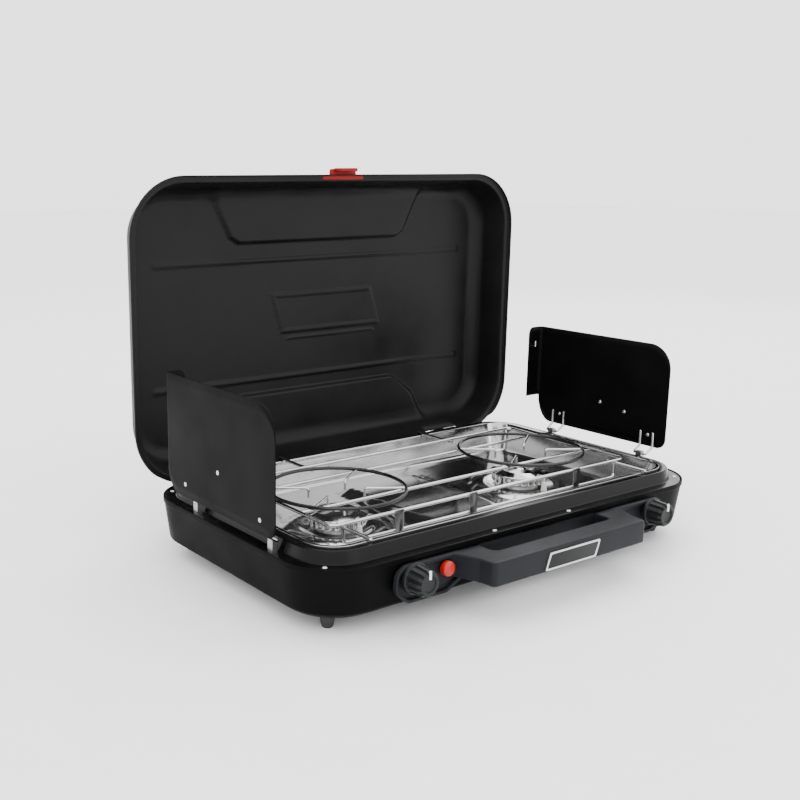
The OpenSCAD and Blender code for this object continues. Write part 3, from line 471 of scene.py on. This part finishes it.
def lid_pieces():
    """The lid pan with its pressed panels, standing open behind the base."""
    rim_y = LID_LO[1] + 4
    depth = LID_HI[1] - rim_y - 1.2
    panels = [
        (5.7, 5, [(-172, 416), (-134, 341), (-122, 334), (122, 334), (134, 341), (172, 416)]),
        (5.7, 5, [(-190, 60), (190, 60), (155, 121), (130, 141), (118, 147), (-118, 147),
                  (-130, 141), (-155, 121)]),
    ]
    badge = [(-58, 220), (98, 220), (82, 270), (-74, 270)]

    def press(x, z):
        out = 0
        for amount, width, corners in panels:
            out = max(out, amount * soft(inside_poly(x, z, corners), width))
        for half, level in ((235, 312), (237, 165)):
            reach = math.hypot(max(abs(x) - half, 0), z - level)
            out = max(out, 2.0 * soft(2.4 - reach, 3))
        edge = inside_poly(x, z, badge)
        out = max(out, 1.8 * soft(edge, 2.5) - 1.1 * soft(edge - 5, 2))
        line = math.hypot(max(abs(x - 20) - 68, 0), z - 213)
        return max(out, 1.3 * soft(1.4 - line, 2))

    bend = [(-14 - 19 + 19 * math.cos(a), depth - 19 + 19 * math.sin(a))
            for a in (math.pi / 2 * k / 9 for k in range(10))]
    flange = [(0, -4), (0, 0), (-7, 0), (-8.4, 4)]
    profile = fillet(flange, [0, 1.2, 2.2, 0], 5) + bend
    rings = []

    def at(x, z, out):
        return (x, rim_y + out, z)

    def lip(z, out):
        if out >= 0:
            return out
        return out * soft(z - 84, 6)

    for s, out in profile:
        loop = ring(LID_W / 2 + s, LID_H / 2 + s, LID_R + s, 110, 70)
        fade = max(0, (out - depth + 19) / 19)
        rings.append([at(x, LID_MID_Z + z, lip(LID_MID_Z + z, out)
                         - fade * press(x, LID_MID_Z + z)) for x, z in loop])
    flat = ring(LID_W / 2 - 33, LID_H / 2 - 33, LID_R - 33, 110, 70)
    for k in range(LID_ROWS - 1, 0, -1):
        part = k / LID_ROWS
        rings.append([at(x * part, LID_MID_Z + z * part,
                         depth - press(x * part, LID_MID_Z + z * part)) for x, z in flat])
    verts, faces = loft(rings, cap_last=True)
    hinge = (box_mm("lid_hinge_pins")[1][0], *middle("lid_hinge_pins")[1:])
    kept = [f for f in faces if not over_hinge(verts, f, *hinge)]
    obj = put("lid_pressed", verts, kept, LID_PAINT_LIT, "lid", ["lid_shell"], sharp=60)
    thicken(obj, 1.1 if lid_faces_front(obj) else -1.1)


def over_hinge(verts, face, hinge_end, axis_y, axis_z):
    """True for a face in the lid's edge where a hinge has to pass."""
    x, y, z = (sum(verts[i][k] for i in face) / len(face) for k in range(3))
    inside = hinge_end - HINGE_NOTCH < abs(x) < hinge_end + 4
    return inside and math.hypot(y - axis_y, z - axis_z) < HINGE_CLEAR


def lid_faces_front(obj):
    """True when the sheet's normals point away from the cook, so it thickens backwards."""
    mesh = obj.data
    total = sum(p.normal.y * p.area for p in mesh.polygons)
    return total > 0


def latch_pieces():
    """The red lever: a wide foot on the lid's edge and a narrower pull tab above it."""
    mid_x, top = 0, LEVER_HI[2]
    low = LEVER_LO[2]
    y0, y1 = LEVER_LO[1], LEVER_HI[1]
    tab = slab([fillet([(-20, -4), (20, -4), (19, 9), (-19, 9)], 2.5, 4, True)], 3.6, 0.9)
    foot = slab([fillet([(-31, -5.5), (31, -5.5), (31, 4.5), (-31, 4.5)], 2, 4, True)], 5, 1)
    claw = slab([fillet([(-13.6, 0), (13.6, 0), (13.6, 13), (-13.6, 13)], 2, 4, True)], 4, 0.9)
    grip = [slab([fillet([(-14, -0.7), (14, -0.7), (14, 0.7), (-14, 0.7)], 0.4, 2, True)],
                 1.2, 0.3) for _ in range(3)]
    up = Matrix.Rotation(math.radians(90), 4, "X")
    parts = [
        moved(tab, Matrix.Translation((mid_x, y1 - 8, top - 10)) @ up),
        moved(foot, Matrix.Translation((mid_x, y1 - 4.5, top - 11.2))),
        moved(claw, Matrix.Translation((mid_x, y0, low + 12))),
    ]
    for i, g in enumerate(grip):
        parts.append(moved(g, Matrix.Translation((mid_x, y1 - 10, top - 8 + 2.6 * i)) @ up))
    put("latch_moulded", *merge(parts), LATCH_RED, "latch", ["latch_lever"], sharp=30)


# ------------------------------------------------------------------ wind panels


def panel_pieces(side):
    """One wind panel with its folded strip and rivets."""
    name = "left" if side < 0 else "right"
    body = name + "_wind_panel"
    low, high = box_mm(name + "_panel")
    outer = low[0] if side < 0 else high[0]
    y0, y1 = low[1], high[1]
    z0, z1 = low[2], high[2]
    strip = (high[0] - low[0]) - 1
    strip_z = z0 + 34
    bend = 5
    flat = y1 - y0 - bend
    path = [(outer - side * 0.6, y0 + flat * i / 40) for i in range(41)]
    arc = math.pi / 2
    for i in range(1, 9):
        a = arc * i / 8
        path.append((outer - side * (0.6 + bend * (1 - math.cos(a))),
                     y0 + flat + (bend - 0.6) * math.sin(a)))
    for i in range(1, 8):
        path.append((outer - side * (0.6 + bend + (strip - bend) * i / 7), y1 - 0.6))
    run = [0]
    for a, b in zip(path, path[1:]):
        run.append(run[-1] + math.hypot(b[0] - a[0], b[1] - a[1]))
    total = run[-1]
    fold = flat + 3
    corner = 30

    def limits(u):
        top, bottom = z1, z0
        if u < corner:
            top = z1 - corner + math.sqrt(max(corner ** 2 - (corner - u) ** 2, 0))
        if u < 12:
            bottom = z0 + 12 - math.sqrt(max(144 - (12 - u) ** 2, 0))
        if u > total - 8:
            v = u - (total - 8)
            top = z1 - 8 + math.sqrt(max(64 - v * v, 0))
        start = fold - 22
        if u > start:
            t = min((u - start) / 22, 1)
            bottom = z0 + 34 * (1 - math.sqrt(max(1 - t * t, 0))) if t < 1 else strip_z
        return bottom, top

    fine = sorted(set([corner * (1 - math.cos(math.pi / 2 * k / 12)) for k in range(13)]
                      + [12 * (1 - math.cos(math.pi / 2 * k / 8)) for k in range(9)]
                      + [fold - 22 + 22 * math.sin(math.pi / 2 * k / 10) for k in range(11)]
                      + [total - 8 * math.cos(math.pi / 2 * k / 8) for k in range(9)] + run))

    def point(u):
        for i in range(len(run) - 1):
            if u <= run[i + 1] + 1e-9:
                t = (u - run[i]) / (run[i + 1] - run[i])
                return (path[i][0] + (path[i + 1][0] - path[i][0]) * t,
                        path[i][1] + (path[i + 1][1] - path[i][1]) * t)
        return path[-1]

    rows = 14
    grid = []
    for u in fine:
        x, y = point(u)
        bottom, top = limits(u)
        grid.append([(x, y, bottom + (top - bottom) * k / rows) for k in range(rows + 1)])
    part = loft(grid, closed=False)
    obj = put(name + "_panel_sheet", *part, PANEL_PAINT, body, [name + "_panel"], sharp=50)
    thicken(obj, 1.1)
    obj.modifiers["sheet"].offset = 0
    inner = outer - side * 1.2
    ys = hinge_places(name)
    dots = [(ys[0], z0 + 14), (ys[1], z0 + 14), (y0 + 100, z0 + 42)]
    if side > 0:
        dots.append((y0 + 62, z0 + 36))
    knob = lathe(fillet([(0.05, 1), (1.4, 0.9), (2.3, 0.3), (2.4, -1.8), (0.05, -1.9)],
                        [0, 0.6, 0.3, 0.3, 0], 3), 24, cap=False)
    turn = Matrix.Rotation(math.radians(-90 * side), 4, "Y")
    dots_part = merge([moved(knob, Matrix.Translation((inner, y, z)) @ turn)
                       for y, z in dots])
    put(name + "_panel_rivets", *dots_part, CHROME, body, [name + "_panel_clips"])
    return body


def hinge_places(name):
    """The y of the two hinge wires of a panel."""
    low, high = box_mm(name + "_panel_wires")
    return low[1] + 10.6, high[1] - 10.6


def panel_wires(side):
    """The bent hinge wires of one wind panel."""
    name = "left" if side < 0 else "right"
    body = name + "_wind_panel"
    low, high = box_mm(name + "_panel_wires")
    pivot_x = high[0] - 1.6 if side < 0 else low[0] + 1.6
    inner = low[0] + 1.5 if side < 0 else high[0] - 1.5
    pivot_z = low[2] + 1.6
    tubes = []
    for y in hinge_places(name):
        points = [(inner, y - 9, high[2]), (inner, y - 9, pivot_z + 7),
                  (pivot_x, y - 9, pivot_z), (pivot_x, y + 9, pivot_z),
                  (inner, y + 9, pivot_z + 7), (inner, y + 9, high[2])]
        tubes.append(tube(bend_path(points, 3, 6), 1.45))
    put(name + "_hinge_wires", *merge(tubes), CHROME, body, [name + "_panel_wires"])


# ------------------------------------------------------------------ grate and burners


def grate_pieces():
    """Bright rails with crossed straps, and a dark ring over each burner."""
    z = RAIL_HI[2] - 2
    low_z = RAIL_LO[2] + 2
    x0, x1 = RAIL_LO[0] + 2, RAIL_HI[0] - 2
    y0, y1 = RAIL_LO[1] + 2, RAIL_HI[1] - 2
    outline = []
    for x, y in ring((x1 - x0) / 2, (y1 - y0) / 2, 7, 4, 3, 6):
        outline.append((x + (x0 + x1) / 2, y + (y0 + y1) / 2, z))
    burners = [middle("burner_head_left"), middle("burner_head_right")]
    mid_y = burners[0][1] - 40
    tubes = [tube(outline, 1.9, closed=True),
             tube([(x0, mid_y, z), (x1, mid_y, z)], 1.9),
             tube([(x0, burners[0][1] + 44, z), (x1, burners[0][1] + 44, z)], 1.7)]
    drop = bend_path([(x0 + 14, y0, z), (x0 + 14, y0, low_z), (x1 - 14, y0, low_z),
                      (x1 - 14, y0, z)], 6)
    tubes.append(tube(drop, 1.9))
    for bx, by, _ in burners:
        for angle in (35, 145, 215, 325):
            a = math.radians(angle)
            reach, near = 74, 30
            far_p = (bx + reach * math.cos(a), by + reach * math.sin(a), z + 3)
            mid_p = (bx + 52 * math.cos(a), by + 52 * math.sin(a), z + 2.4)
            end_p = (bx + near * math.cos(a), by + near * math.sin(a), z + 2.4)
            down = (bx + near * math.cos(a), by + near * math.sin(a), z - 8)
            tubes.append(tube(bend_path([far_p, mid_p, end_p, down], 4), 1.4))
    put("grate_frame", *merge(tubes), CHROME, "base", ["grate_rails"])
    for (bx, by, _), name in zip(burners, ("left", "right")):
        ring_z = middle("grate_ring_" + name)[2]
        loop = [(bx + 74 * math.cos(2 * math.pi * i / 96),
                 by + 74 * math.sin(2 * math.pi * i / 96), ring_z) for i in range(96)]
        put("pan_ring_" + name, *tube(loop, 1.95, closed=True), DARK_WIRE, "base",
            ["grate_ring_" + name])
    low, high = box_mm("grate_legs")
    legs = []
    for sx in (-1, 1):
        fx = sx * (high[0] - 2)
        legs.append(tube(bend_path([(fx, y0 + 10, z - 3.2), (fx, low[1] + 6, z - 3.2),
                                    (fx, low[1] + 2.4, z - 3.2)], 3), 1.9))
        bx = sx * 110
        legs.append(tube([(bx, y1 - 8, z - 3.2), (bx, high[1] - 1, z - 3.2)], 1.9))
    put("grate_feet", *merge(legs), CHROME, "base", ["grate_legs"])
    straps = []
    low, high = box_mm("grate_straps")
    mid = (high[2] + low[2]) / 2
    tall = high[2] - low[2]
    for x in ((low[0] + 5.5), -30, (high[0] - 5.5)):
        plate = slab([fillet([(-5.4, -tall / 2), (5.4, -tall / 2), (5.4, tall / 2),
                              (-5.4, tall / 2)], 1.5, 4, True)], 1.2, 0.25)
        place = Matrix.Translation((x, low[1] + 0.6, mid)) \
            @ Matrix.Rotation(math.radians(90), 4, "X")
        straps.append(moved(plate, place))
    put("rail_straps", *merge(straps), CHROME, "base", ["grate_straps"], sharp=30)


def burner_pieces(name):
    """A fluted burner head under a domed cap."""
    low, high = box_mm("burner_head_" + name)
    cx, cy = (low[0] + high[0]) / 2, (low[1] + high[1]) / 2
    r = (high[0] - low[0]) / 2
    z0, z1 = low[2], high[2]
    lobes = 24

    def flutes(a, rad, z):
        if rad < r - 6 or z < z0 + 2:
            return 0
        return -2.2 * max(0, math.cos(lobes * a)) ** 3

    head = fillet([(20, z0), (r - 9, z0 + 0.4), (r, z0 + 3), (r, z1 - 1), (r - 2, z1),
                   (r - 6, z1)], [0, 3, 1.5, 1, 0.6, 0], 4)
    place = Matrix.Translation((cx, cy, 0))
    put("burner_crown_" + name, *moved(lathe(head, 192, flutes), place), CHROME, "base",
        ["burner_head_" + name], sharp=50)
    low, high = box_mm("burner_cap_" + name)
    rim = (high[0] - low[0]) / 2
    cap = fillet([(rim - 6, low[2] + 1.2), (rim, low[2] + 1.6), (rim - 0.4, low[2] + 3),
                  (rim - 12, high[2] - 1.6), (8, high[2] - 1.4), (5.4, high[2]),
                  (0.1, high[2])], [0, 0.4, 1, 6, 1.5, 1, 0], 5)
    put("burner_lid_" + name, *moved(lathe(cap, 96), place), CHROME, "base",
        ["burner_cap_" + name], sharp=50)
    low, high = box_mm("burner_cup_" + name)
    rim = (high[0] - low[0]) / 2
    cup = fillet([(15, low[2]), (17, low[2]), (17, high[2] - 8), (rim, high[2] - 6),
                  (rim - 2, high[2]), (16, high[2])], [0, 1, 3, 2, 1, 0], 4)
    put("burner_stand_" + name, *moved(lathe(cup, 72), place), STEEL, "base",
        ["burner_cup_" + name], sharp=50)


# ------------------------------------------------------------------ front controls


def front_pieces():
    """Moulded front with two knob bays and the carry handle."""
    low, high = FASCIA_LO, FASCIA_HI
    bar_low, bar_top = high[2] - 25, high[2] - 0.6
    half = 113
    wall = FRONT_Y - 0.4
    front = low[1]
    outline = [(-half - 16, wall), (-half - 9, wall - 6), (-half, front + 18),
               (-half + 2, front), (half - 2, front), (half, front + 18), (half + 9, wall - 6),
               (half + 16, wall)]
    outer = fillet(outline, [1, 10, 12, 6, 6, 12, 10, 1], 6, True)
    hole = fillet([(-86, wall - 1.5), (-86, front + 26), (86, front + 26), (86, wall - 1.5)],
                  [2, 9, 9, 2], 6, True)
    bar = slab([outer, hole], bar_top - bar_low, 2.2, 4)
    parts = [moved(bar, Matrix.Translation((0, 0, (bar_low + bar_top) / 2)))]
    for side in (-1, 1):
        parts.append(knob_bay(side, low, high, wall))
    bridge = slab([fillet([(-half - 6, low[2] + 14), (half + 6, low[2] + 14),
                           (half + 6, high[2] - 1), (-half - 6, high[2] - 1)], 3, 4, True)],
                  2.4, 0.6)
    up = Matrix.Rotation(math.radians(90), 4, "X")
    parts.append(moved(bridge, Matrix.Translation((0, wall - 0.6, 0)) @ up))
    put("front_moulding", *merge(parts), PLASTIC, "base", ["front_fascia"], sharp=32)
    frame_badge()


def knob_bay(side, low, high, wall):
    """A shallow bay round one knob, with a raised edge."""
    inner, outer = 112, high[0]
    z0, z1 = low[2], high[2] - 0.4
    rim = fillet([(inner, z0 + 10), (inner, z1), (outer - 13, z1), (outer - 2, z1 - 6),
                  (outer, z0 + 14), (outer - 16, z0), (inner + 18, z0)],
                 [4, 3, 14, 12, 14, 12, 12], 6, True)
    hole = fillet([(inner + 5, z0 + 12), (inner + 5, z1 - 5), (outer - 15, z1 - 3.2),
                   (outer - 5, z1 - 8), (outer - 3.4, z0 + 15), (outer - 17, z0 + 3.4),
                   (inner + 20, z0 + 3.4)], [4, 6, 12, 9, 12, 10, 10], 6, True)
    frame_part = slab([rim, hole], 5.6, 1.4, 3)
    back = slab([rim], 1.2, 0.3)
    depth = wall - low[1]
    up = Matrix.Rotation(math.radians(90), 4, "X")
    parts = [moved(frame_part, Matrix.Translation((0, wall - 2.6, 0)) @ up),
             moved(back, Matrix.Translation((0, wall - 0.9, 0)) @ up)]
    part = merge(parts)
    if side < 0:
        part = moved(part, Matrix.Scale(-1, 4, (1, 0, 0)))
    return part


def frame_badge():
    """A blank slanted plate with a raised border on the handle's front."""
    low, high = BADGE_LO, BADGE_HI
    w, h = high[0] - low[0], high[2] - low[2]
    slant = 6
    cx, cz = (low[0] + high[0]) / 2, (low[2] + high[2]) / 2

    def loop(inset):
        return fillet([(-w / 2 + inset * 1.2, -h / 2 + inset),
                       (w / 2 - slant - inset, -h / 2 + inset),
                       (w / 2 - inset * 1.2, h / 2 - inset),
                       (-w / 2 + slant + inset, h / 2 - inset)], 2, 4, True)

    up = Matrix.Rotation(math.radians(90), 4, "X")
    place = Matrix.Translation((cx, high[1] - 0.7, cz)) @ up
    plate = moved(slab([loop(1)], 1.1, 0.2), place)
    border = moved(slab([loop(0), loop(2)], 1.9, 0.35), place)
    put("blank_badge_border", *border, ALUMINIUM, "base", ["handle_badge"], sharp=30)
    put("blank_badge_plate", *plate, KNOB_PLASTIC, "base", sharp=30)


def knob_pieces(name):
    """A fluted knob with a raised grip and a white pointer."""
    low, high = box_mm(name + "_knob")
    cx, cz = (low[0] + high[0]) / 2, (low[2] + high[2]) / 2
    r = (high[0] - low[0]) / 2
    long = high[1] - low[1]

    def flutes(a, rad, z):
        if z < 4.2 or z > long - 0.5 or rad < r - 6:
            return 0
        wave = max(0, -math.cos(KNOB_LOBES * a))
        return -2.3 * wave ** 0.7

    profile = fillet([(4, 0), (r, 0), (r, 3.6), (r - 1.4, 4.4), (r - 2.4, long - 3.5),
                      (r - 4.5, long - 0.2), (r - 7.5, long - 0.2), (r - 8, long - 1.6),
                      (0.1, long - 1.6)], [0, 0.6, 0.8, 0.6, 1.4, 1.2, 0.8, 0.4, 0], 4)
    front = Matrix.Translation((cx, high[1], cz)) @ Matrix.Rotation(math.radians(90), 4, "X")
    body = name + "_knob_body"
    put(name + "_knob_grip", *moved(lathe(profile, 240, flutes), front), KNOB_PLASTIC, body,
        [name + "_knob"], sharp=45)
    bar = slab([fillet([(-1.2, -4.2), (1.2, -4.2), (1.2, 4.2), (-1.2, 4.2)], 0.6, 3, True)],
               1.6, 0.3)
    place = Matrix.Translation((cx, low[1] + 0.3, cz + r - 6.2)) \
        @ Matrix.Rotation(math.radians(90), 4, "X")
    put(name + "_pointer", *moved(bar, place), WHITE, body, [name + "_knob_pointer"], sharp=30)


def button_piece():
    """The red igniter button with its domed face."""
    cx, cz = middle("igniter_button")[0], middle("igniter_button")[2]
    r = (BUTTON_HI[2] - BUTTON_LO[2]) / 2
    long = BUTTON_HI[1] - BUTTON_LO[1]
    profile = fillet([(2.4, 0), (2.4, long - 7.6), (r, long - 7.6), (r, long - 2),
                      (r - 3, long), (0.1, long)], [0, 0.2, 0.5, 1.8, 4, 0], 5)
    place = Matrix.Translation((cx, BUTTON_HI[1], cz)) \
        @ Matrix.Rotation(math.radians(90), 4, "X")
    put("button_dome", *moved(lathe(profile, 64), place), RED, "igniter", ["igniter_button"],
        sharp=50)


# ------------------------------------------------------------------ build

base_pieces()
deck_pieces()
lid_pieces()
latch_pieces()
for which in (-1, 1):
    panel_pieces(which)
    panel_wires(which)
grate_pieces()
for which in ("left", "right"):
    burner_pieces(which)
    knob_pieces(which)
front_pieces()
button_piece()

KEPT = {
    CHROME: ["deck_screws", "lid_hinge_pins", "latch_pin", "left_panel_hook",
             "right_panel_hook"],
    STEEL: ["panel_brackets", "base_hinge_rivets", "lid_hinge_rivets", "venturi_left",
            "venturi_right", "manifold_pipe"],
    BRASS: ["valve_body_left", "valve_body_right", "gas_inlet", "left_valve_stem",
            "right_valve_stem"],
    PAINT: ["latch_lugs", "latch_keeper", "base_hinge_leaves", "lid_hinge_leaves"],
    PLASTIC: ["igniter_body"],
    CERAMIC: ["electrode_left", "electrode_right"],
    LEAD_RED: ["ignition_leads"],
}
for mat, nodes in KEPT.items():
    for node in nodes:
        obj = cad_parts[node]
        obj.data.materials.clear()
        obj.data.materials.append(mat)

# ------------------------------------------------------------------ floor, light, camera


def studio():
    """A flat pale floor, and soft light from large sources."""
    rings = [[(x, y, 0) for x, y in ring(9000, 9000, 4000, 12, 12)],
             [(x, y, 0) for x, y in ring(30, 30, 12, 12, 12)]]
    verts, faces = loft(rings, cap_last=True)
    mesh = bpy.data.meshes.new("studio_floor")
    mesh.from_pydata([tuple(c * MM for c in v) for v in verts], [], faces)
    mesh.materials.append(FLOOR)
    floor = bpy.data.objects.new("studio_floor", mesh)
    bpy.context.scene.collection.objects.link(floor)
    lamps = [
        ("key", (-1.6, -1.4, 2.4), 2.2, 9),
        ("front_fill", (0.6, -2.6, 1.0), 1.8, 10),
        ("top", (0.2, 0.4, 2.6), 2.4, 22),
        ("rim", (1.9, 0.9, 1.4), 1.4, 12),
    ]
    for name, place, size, power in lamps:
        light = bpy.data.lights.new(name, "AREA")
        light.shape = "DISK"
        light.size = size
        light.energy = power
        lamp = bpy.data.objects.new(name, light)
        lamp.location = place
        aim = Vector((0, 0, 0.12)) - Vector(place)
        lamp.rotation_euler = aim.to_track_quat("-Z", "Y").to_euler()
        bpy.context.scene.collection.objects.link(lamp)
    world = bpy.data.worlds.new("studio")
    world.use_nodes = True
    world.node_tree.nodes["Background"].inputs["Color"].default_value = (1, 1, 1, 1)
    world.node_tree.nodes["Background"].inputs["Strength"].default_value = WORLD_LIGHT
    bpy.context.scene.world = world


def camera():
    """The camera at the reference's height, angle and focal length."""
    data = bpy.data.cameras.new("view")
    data.sensor_width = 36
    data.lens = CAMERA_LENS
    data.shift_x = CAMERA_SHIFT
    data.dof.use_dof = False
    cam = bpy.data.objects.new("view", data)
    cam.location = CAMERA_PLACE
    cam.rotation_euler = (math.radians(90 - CAMERA_PITCH), 0, math.radians(-CAMERA_YAW))
    bpy.context.scene.collection.objects.link(cam)
    bpy.context.scene.camera = cam


studio()
camera()
